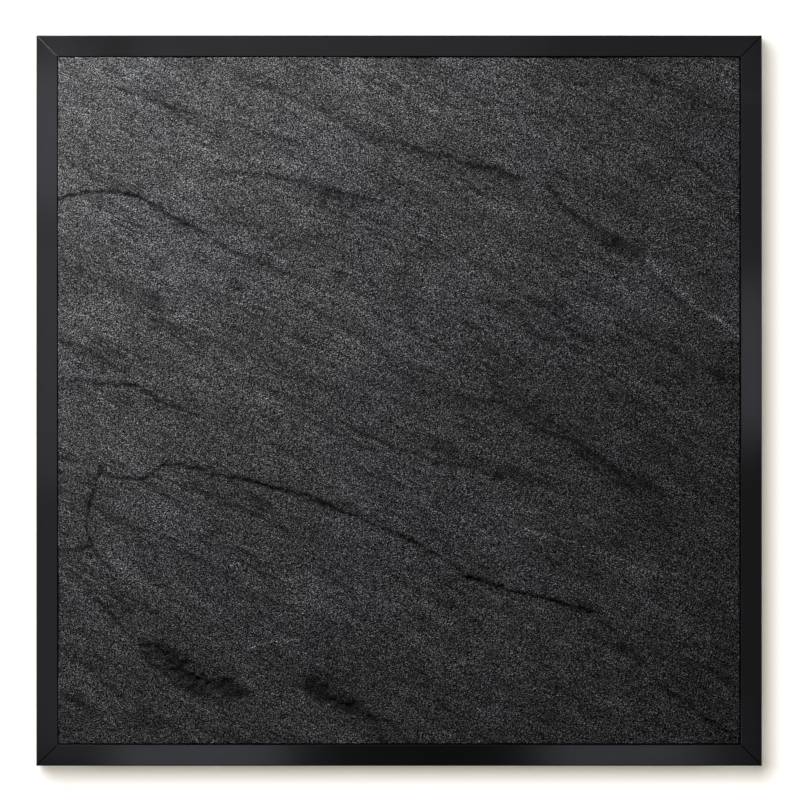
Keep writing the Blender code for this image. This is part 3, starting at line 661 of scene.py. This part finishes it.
def stone_finish(colour, grain_depth):
    """Dark riven stone: a sparkling crystal grain, partly painted glints and facet shade, leafy streaks
    along the cleavage and cracks darkened with painted shade.
    """
    finish = Finish("riven_stone")
    grain_place = finish.place(CLEAVAGE * 0.4, (0.7, 1.0, 1.0))
    dash_place = finish.place(CLEAVAGE * 0.8, (0.16, 1.0, 1.0))
    streak_place = finish.place(CLEAVAGE * 1.05, (0.11, 1.0, 1.0))
    grain = finish.noise(grain_place, 0.66 * MM, detail=0.0)
    crumb = finish.noise(grain_place, 2.2 * MM, detail=1.0)
    dash = finish.noise(dash_place, 2.0 * MM, roughness=0.6)
    streak = finish.noise(streak_place, 6 * MM, detail=4.0, roughness=0.7, distortion=0.3)
    cloud = finish.noise(finish.place(), 90 * MM)
    # Thin broken lines where one leaf of stone ends on the next: the places where a noise crosses its mean.
    leaf_place = finish.place(CLEAVAGE * 0.95, (0.1, 1.0, 1.0))
    off_mean = finish.noise(leaf_place, 10 * MM, distortion=0.25) - 0.5
    patch = finish.noise(finish.place(CLEAVAGE, (0.35, 1.0, 1.0)), 26 * MM, detail=1.0)
    line_edge = 0.0007
    leaf_line = (1.0 - (off_mean * off_mean).between(0.0, line_edge)) * patch.between(0.45, 0.6)
    painted_light_and_tone = finish.node("ShaderNodeAttribute", {"attribute_name": "painted_light_and_tone"}, output="Fac")
    across, up = finish.across_and_up()
    # The crystals grow coarser in contrast towards the lower right, as painted shade for the key light
    # grazing lower there. Dividing by the mean of their square keeps the mean lightness the same all over.
    middle_contrast = 8.0
    painted_shade_rise_per_metre = 6.0
    darkest = 0.08
    grain_variance = 0.015
    grain_contrast_with_painted_shade = middle_contrast + (across - up) * painted_shade_rise_per_metre
    bright = ((grain - 0.5) * grain_contrast_with_painted_shade + 1.0).largest(darkest)
    # The squared grain paints bright specks: partly the crystals' own colour, partly painted glints and
    # facet shade.
    grain_and_painted_glints = bright * bright / (grain_contrast_with_painted_shade * grain_contrast_with_painted_shade * grain_variance + 1.0)
    layers = (crumb - 0.5) * 0.3 + (dash - 0.5) * 1.5 + (streak - 0.5) * 1.1 + (cloud - 0.5) * 0.4
    # The mesh's painted light darkens the colour with painted shade in the cracks and hollows, and lightens
    # it with painted highlights on pale ridges and facets.
    light = grain_and_painted_glints * (layers - painted_light_and_tone * 1.5 - leaf_line * 0.7).exponential()
    cool = (colour[0] * 0.98, colour[1] * 0.99, colour[2] * 1.05)
    tinted = finish.mix(cloud.between(0.4, 0.65), colour, cool)
    finish.shade(
        Base_Color=finish.tint(tinted, light),
        Roughness=0.75 - grain.between(0.5, 0.8) * 0.2,
        Normal=finish.bump(grain * 0.6 + crumb * 0.4, grain_depth),
        Specular_IOR_Level=0.12,
    )
    return finish.material


def lacquer_finish(name, colour, stretch):
    """Sprayed satin black: orange peel, a trace of the timber's grain along the rail and hazy rubbing."""
    finish = Finish(name)
    plain = finish.place()
    peel = finish.noise(plain, 1.9 * MM)
    timber = finish.noise(finish.place(0.0, stretch), 1.4 * MM, roughness=0.6)
    haze = finish.noise(plain, 45 * MM, detail=3.0, roughness=0.55)
    finish.shade(
        Base_Color=finish.tint(colour, 0.7 + haze * 0.6),
        Roughness=0.27 + haze * 0.08 + (timber - 0.5) * 0.08,
        Normal=finish.bump(peel * 0.65 + timber * 0.35, 0.05 * MM),
    )
    return finish.material


def glue_finish(colour, painted_highlight_colour):
    """Dried glue stained by the lacquer, painted paler at the upper left corner as a highlight where the
    key light catches that mitre.
    """
    finish = Finish("stained_glue")
    lumps = finish.noise(finish.place(), 0.9 * MM)
    across, up = finish.across_and_up()
    # Painted highlight: the glue of the upper left mitre is paler, where the key light catches it.
    painted_highlight_mask = (up - across).between(0.5, 0.54)
    glue_and_painted_highlight = finish.mix(painted_highlight_mask, colour, painted_highlight_colour)
    finish.shade(
        Base_Color=finish.tint(glue_and_painted_highlight, 0.7 + lumps * 0.6),
        Roughness=0.75 + lumps * 0.2,
        Normal=finish.bump(lumps, 0.05 * MM),
        Specular_IOR_Level=0.0,
    )
    return finish.material


def board_finish(colour):
    """Hardboard, screen side out: pressed fibres, blotches and the print of the press screen."""
    finish = Finish("hardboard")
    plain = finish.place()
    fibres = finish.noise(finish.place(0.5, (0.1, 1.0, 1.0)), 0.7 * MM, detail=3.0, roughness=0.6)
    crossed = finish.noise(finish.place(-0.9, (0.1, 1.0, 1.0)), 0.8 * MM, detail=3.0, roughness=0.6)
    blotch = finish.noise(plain, 28 * MM, detail=4.0, roughness=0.6)
    screen_pitch = 1.9 * MM
    turns = 2 * math.pi / screen_pitch
    across, up = finish.across_and_up()
    screen = (across * turns).sine() * (up * turns).sine()
    light = (blotch - 0.5) * 0.9 + (fibres - 0.5) * 1.6 + (crossed - 0.5) * 1.4 + screen * 0.12
    finish.shade(
        Base_Color=finish.tint(colour, light.exponential()),
        Roughness=0.5 + fibres * 0.25,
        Normal=finish.bump(screen * 0.5 + fibres * 0.6 + crossed * 0.4, 0.12 * MM),
    )
    return finish.material


def foam_finish(colour):
    """Closed cell foam: small burst cells and a dusty skin."""
    finish = Finish("foam")
    plain = finish.place()
    cell_size = 0.6 * MM
    cells = finish.node("ShaderNodeTexVoronoi", inputs={"Vector": plain, "Scale": 1 / cell_size})
    dust = finish.noise(plain, 9 * MM, detail=3.0)
    finish.shade(
        Base_Color=finish.tint(colour, 0.6 + cells * 0.5 + dust * 0.4),
        Roughness=0.88 + dust * 0.1,
        Normal=finish.bump(cells, 0.15 * MM),
    )
    return finish.material


def rubber_finish(colour):
    """Moulded rubber: fine matt skin, dusty patches and scuffs."""
    finish = Finish("rubber")
    plain = finish.place()
    skin = finish.noise(plain, 0.35 * MM)
    dust = finish.noise(plain, 3.5 * MM, detail=3.0, roughness=0.6)
    scuffs = finish.noise(finish.place(0.7, (0.08, 1.0, 1.0)), 0.6 * MM)
    finish.shade(
        Base_Color=finish.tint(colour, 0.6 + dust * 0.6 + scuffs.between(0.6, 0.75) * 0.6),
        Roughness=0.55 + dust * 0.25,
        Normal=finish.bump(skin, 0.03 * MM),
    )
    return finish.material


def steel_finish(colour):
    """Bright zinc plate: handling scratches two ways, a dull bloom and faint straw patches."""
    finish = Finish("zinc_plate")
    plain = finish.place()
    scratches = finish.noise(finish.place(0.35, (0.03, 1.0, 1.0)), 0.5 * MM)
    crossed = finish.noise(finish.place(-1.1, (0.03, 1.0, 1.0)), 0.6 * MM)
    bloom = finish.noise(plain, 6 * MM, detail=4.0, roughness=0.6)
    straw = (colour[0] * 0.98, colour[1] * 0.92, colour[2] * 0.78)
    tinted = finish.mix(bloom.between(0.5, 0.75), colour, straw)
    finish.shade(
        Base_Color=finish.tint(tinted, 0.75 + bloom * 0.35 + (scratches - 0.5) * 0.3),
        Roughness=0.24 + bloom * 0.22 + (crossed - 0.5) * 0.2,
        Normal=finish.bump(scratches * 0.5 + crossed * 0.5, 0.015 * MM),
        Metallic=1.0,
    )
    return finish.material


def wall_paint():
    """White paint with a faint warm glow, clear from behind, so that the back of the panel can be seen."""
    paint = Finish("wall_paint")
    paint.shade(
        Base_Color=(0.95, 0.95, 0.95),
        Roughness=0.9,
        Specular_IOR_Level=0.0,
        Emission_Color=(1.0, 0.88, 0.68),
        Emission_Strength=0.27,
    )
    facing_away = paint.node("ShaderNodeNewGeometry", output="Backfacing")
    clear = paint.node("ShaderNodeBsdfTransparent")
    painted = Socket(paint, paint.shader.outputs[0])
    one_sided = paint.node("ShaderNodeMixShader", inputs={0: facing_away, 1: painted, 2: clear})
    paint.feed(paint.nodes["Material Output"].inputs["Surface"], one_sided)
    return paint.material


def floor_paint():
    """Pale floor paint that glows enough to look white."""
    paint = Finish("floor_paint")
    paint.shade(
        Base_Color=(0.75, 0.75, 0.74),
        Roughness=0.8,
        Emission_Color=(1.0, 1.0, 0.99),
        Emission_Strength=0.85,
    )
    return paint.material


def dress(names, material):
    """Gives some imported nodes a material."""
    for name in names:
        for slot in NODES[name].material_slots:
            slot.material = material


def named(*starts):
    """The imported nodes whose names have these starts."""
    return [name for name in NODES if name.startswith(starts)]


def plain_sheet(name, corners, material):
    """A flat sheet of the stage, which lights the panel in no way."""
    mesh = bpy.data.meshes.new(name)
    mesh.from_pydata(corners, [], [tuple(range(len(corners)))])
    mesh.materials.append(material)
    sheet = bpy.data.objects.new(name, mesh)
    bpy.context.scene.collection.objects.link(sheet)
    sheet.visible_shadow = False
    sheet.visible_diffuse = False
    sheet.visible_glossy = False
    return sheet


def aimed_lamp(name, kind, place, target, power):
    """A lamp that points from its place to its target, and isn't seen itself."""
    data = bpy.data.lights.new(name, kind)
    data.energy = power
    lamp = bpy.data.objects.new(name, data)
    lamp.location = place
    lamp.rotation_euler = (Vector(target) - Vector(place)).to_track_quat("-Z", "Y").to_euler()
    lamp.visible_camera = False
    bpy.context.scene.collection.objects.link(lamp)
    return lamp


def soft_lamp(name, place, target, power, size):
    """An aimed lamp of a width and a height in metres."""
    lamp = aimed_lamp(name, "AREA", place, target, power)
    lamp.data.shape = "RECTANGLE"
    lamp.data.size, lamp.data.size_y = size
    return lamp


def lit_only(lamp, name, receivers):
    """Makes a lamp light nothing but its receivers."""
    group = bpy.data.collections.new(name)
    for obj in receivers:
        group.objects.link(obj)
    lamp.light_linking.receiver_collection = group


def keep_off(lamp, name, unlit):
    """Makes a lamp light everything but some objects."""
    lit_only(lamp, name, unlit)
    for member in lamp.light_linking.receiver_collection.collection_objects:
        member.light_linking.link_state = "EXCLUDE"


def place_wall():
    """The white wall, just behind the panel."""
    y = WALL + FIT
    corners = [
        (-WALL_REACH, y, GROUND),
        (WALL_REACH, y, GROUND),
        (WALL_REACH, y, WALL_TOP),
        (-WALL_REACH, y, WALL_TOP),
    ]
    return plain_sheet("wall", corners, wall_paint())


def place_floor():
    """The pale floor, well below the panel."""
    corners = [
        (-FLOOR_REACH, -FLOOR_REACH, GROUND),
        (FLOOR_REACH, -FLOOR_REACH, GROUND),
        (FLOOR_REACH, FLOOR_REACH, GROUND),
        (-FLOOR_REACH, FLOOR_REACH, GROUND),
    ]
    return plain_sheet("floor", corners, floor_paint())


def place_surroundings():
    """White all round, which neither lights the panel nor shows in its gloss."""
    world = bpy.data.worlds.new("studio")
    world.use_nodes = True
    background = world.node_tree.nodes["Background"]
    background.inputs["Color"].default_value = (1, 1, 1, 1)
    background.inputs["Strength"].default_value = 1.0
    bpy.context.scene.world = world
    world.cycles_visibility.diffuse = False
    world.cycles_visibility.glossy = False


def place_lamps(wall, floor):
    """The key, the wall's wash, the cards in front of the rails and the fills all round the frame."""
    key = soft_lamp("key", place=(-0.64, -0.45, 0.74), target=(-0.05, 0, 0.05), power=25.0, size=(0.3, 0.3))
    keep_off(key, "off_key", [wall])
    wash = aimed_lamp("wall_wash", "SUN", place=(0, 0, 0), target=(0.33, 1.0, -0.35), power=3.3)
    wash.data.angle = math.radians(42)
    lit_only(wash, "lit_wall", [wall])
    rails = [NODES[name] for name in named("rail_")]
    y = FRONT - CARD_DISTANCE
    for name, (x, z), (width, height), brightness in CARDS:
        power = brightness * math.pi * width * height
        card = soft_lamp(name, (x, y, z), (x, 0, z), power, (width, height))
        card.data.color = CARD_COLOUR
        lit_only(card, name + "_rails", rails)
    stone = bpy.data.objects["riven_slab"]
    for name, place, power, side in FILLS:
        fill = soft_lamp(name, place, (0, 0, 0), power, (side, side))
        keep_off(fill, name + "_off", [stone, wall, floor])


def place_camera():
    """A long lens, square to the panel's face."""
    data = bpy.data.cameras.new("camera")
    data.sensor_width = 36
    view_width = 2 * PANEL_HALF_X * VIEW_MARGIN
    data.lens = data.sensor_width * CAMERA_DISTANCE / view_width
    data.clip_end = 100
    camera = bpy.data.objects.new("camera", data)
    camera.location = (CAMERA_ACROSS, FRONT - CAMERA_DISTANCE, CAMERA_UP)
    camera.rotation_euler = (math.radians(90), 0, 0)
    bpy.context.scene.collection.objects.link(camera)
    bpy.context.scene.camera = camera


class StoneSettings(bpy.types.PropertyGroup):
    """The stone's mesh and looks"""

    cell: bpy.props.FloatProperty(
        name="Mesh cell",
        description="Spacing of the riven face's mesh",
        default=0.00095,
        subtype="DISTANCE",
        unit="LENGTH",
    )
    colour: bpy.props.FloatVectorProperty(
        name="Stone",
        description="Base colour of the stone",
        default=(0.0475, 0.0475, 0.048),
        subtype="COLOR",
    )
    grain: bpy.props.FloatProperty(
        name="Grain depth",
        description="Depth of the fine grain",
        default=0.00036,
        subtype="DISTANCE",
        unit="LENGTH",
    )


class FinishSettings(bpy.types.PropertyGroup):
    """The colours of the frame and the back, and the glue's thickness"""

    lacquer: bpy.props.FloatVectorProperty(
        name="Lacquer",
        description="Colour of the frame's lacquer",
        default=(0.0032, 0.0032, 0.0036),
        subtype="COLOR",
    )
    glue: bpy.props.FloatVectorProperty(
        name="Glue",
        description="Colour of the mitres' glue lines",
        default=(0.0012, 0.0012, 0.0012),
        subtype="COLOR",
    )
    # The paler glue colour, painted on the upper left mitre as a highlight.
    painted_highlight_colour: bpy.props.FloatVectorProperty(
        name="Glue highlight",
        description="Colour of the glue where it is bare",
        default=(0.042, 0.041, 0.04),
        subtype="COLOR",
    )
    board: bpy.props.FloatVectorProperty(
        name="Board",
        description="Colour of the backing board",
        default=(0.20, 0.12, 0.065),
        subtype="COLOR",
    )
    foam: bpy.props.FloatVectorProperty(
        name="Foam",
        description="Colour of the foam pieces",
        default=(0.03, 0.03, 0.032),
        subtype="COLOR",
    )
    rubber: bpy.props.FloatVectorProperty(
        name="Rubber",
        description="Colour of the rubber pieces",
        default=(0.02, 0.02, 0.021),
        subtype="COLOR",
    )
    steel: bpy.props.FloatVectorProperty(
        name="Steel",
        description="Colour of the zinc plated steel",
        default=(0.56, 0.57, 0.58),
        subtype="COLOR",
    )
    glue_thickness: bpy.props.FloatProperty(
        name="Glue line",
        description="Thickness of the glue in the mitres",
        default=0.00028,
        subtype="DISTANCE",
        unit="LENGTH",
    )


class SLAB_OT_stone(bpy.types.Operator):
    """Build the riven stone slab and its finish"""

    bl_idname = "slab.stone"
    bl_label = "Stone slab"

    def execute(self, context):
        settings = context.scene.slab_stone
        slab = slab_piece(settings.cell)
        slab.data.materials.append(stone_finish(tuple(settings.colour), settings.grain))
        return {"FINISHED"}


class SLAB_OT_frame(bpy.types.Operator):
    """Lacquer the four mitred rails and close their mitres"""

    bl_idname = "slab.frame"
    bl_label = "Frame rails"

    def execute(self, context):
        settings = context.scene.slab_finish
        lacquer = tuple(settings.lacquer)
        across = lacquer_finish("lacquer_across", lacquer, stretch=(0.04, 1.0, 1.0))
        dress(["rail_top", "rail_bottom"], across)
        upright = lacquer_finish("lacquer_upright", lacquer, stretch=(1.0, 1.0, 0.04))
        dress(["rail_left", "rail_right"], upright)
        glue = glue_finish(tuple(settings.glue), tuple(settings.painted_highlight_colour))
        for rail in ("rail_top", "rail_bottom"):
            glue_line_piece(rail, settings.glue_thickness).data.materials.append(glue)
        return {"FINISHED"}


class SLAB_OT_backing(bpy.types.Operator):
    """Finish the board, the foam and the rubber pieces"""

    bl_idname = "slab.backing"
    bl_label = "Backing"

    def execute(self, context):
        settings = context.scene.slab_finish
        dress(["backing_board"], board_finish(tuple(settings.board)))
        dress(named("bedding_tape", "cushion"), foam_finish(tuple(settings.foam)))
        dress(named("setting_block", "bumper"), rubber_finish(tuple(settings.rubber)))
        return {"FINISHED"}


class SLAB_OT_hardware(bpy.types.Operator):
    """Finish the plates, buttons, hangers and screws"""

    bl_idname = "slab.hardware"
    bl_label = "Hardware"

    def execute(self, context):
        steel = steel_finish(tuple(context.scene.slab_finish.steel))
        fittings = named("corner_plate", "turn_button", "hanger")
        screws = named("plate_screw", "button_screw", "strap_screw")
        dress(fittings + screws, steel)
        return {"FINISHED"}


class SLAB_OT_stage(bpy.types.Operator):
    """Set the wall, the floor, the lights and the camera"""

    bl_idname = "slab.stage"
    bl_label = "Studio"

    def execute(self, context):
        context.scene.view_settings.view_transform = "Standard"
        wall = place_wall()
        floor = place_floor()
        place_surroundings()
        place_lamps(wall, floor)
        place_camera()
        return {"FINISHED"}


class SLAB_PT_panel(bpy.types.Panel):
    """Lists the builders of the framed slab"""

    bl_idname = "SLAB_PT_panel"
    bl_label = "Stone slab"
    bl_space_type = "VIEW_3D"
    bl_region_type = "UI"
    bl_category = "Stone slab"

    def draw(self, context):
        for group in (context.scene.slab_stone, context.scene.slab_finish):
            for key in group.__annotations__:
                self.layout.prop(group, key)
        for operator in OPERATORS:
            self.layout.operator(operator.bl_idname)


GROUPS = (StoneSettings, FinishSettings)
OPERATORS = (SLAB_OT_stone, SLAB_OT_frame, SLAB_OT_backing, SLAB_OT_hardware, SLAB_OT_stage)


def register():
    for made in (*GROUPS, *OPERATORS, SLAB_PT_panel):
        bpy.utils.register_class(made)
    bpy.types.Scene.slab_stone = bpy.props.PointerProperty(type=StoneSettings)
    bpy.types.Scene.slab_finish = bpy.props.PointerProperty(type=FinishSettings)


def unregister():
    del bpy.types.Scene.slab_finish
    del bpy.types.Scene.slab_stone
    for made in (SLAB_PT_panel, *reversed(OPERATORS), *reversed(GROUPS)):
        bpy.utils.unregister_class(made)


def main():
    register()
    bpy.ops.slab.stone()
    bpy.ops.slab.frame()
    bpy.ops.slab.backing()
    bpy.ops.slab.hardware()
    bpy.ops.slab.stage()


if __name__ == "__main__":
    main()
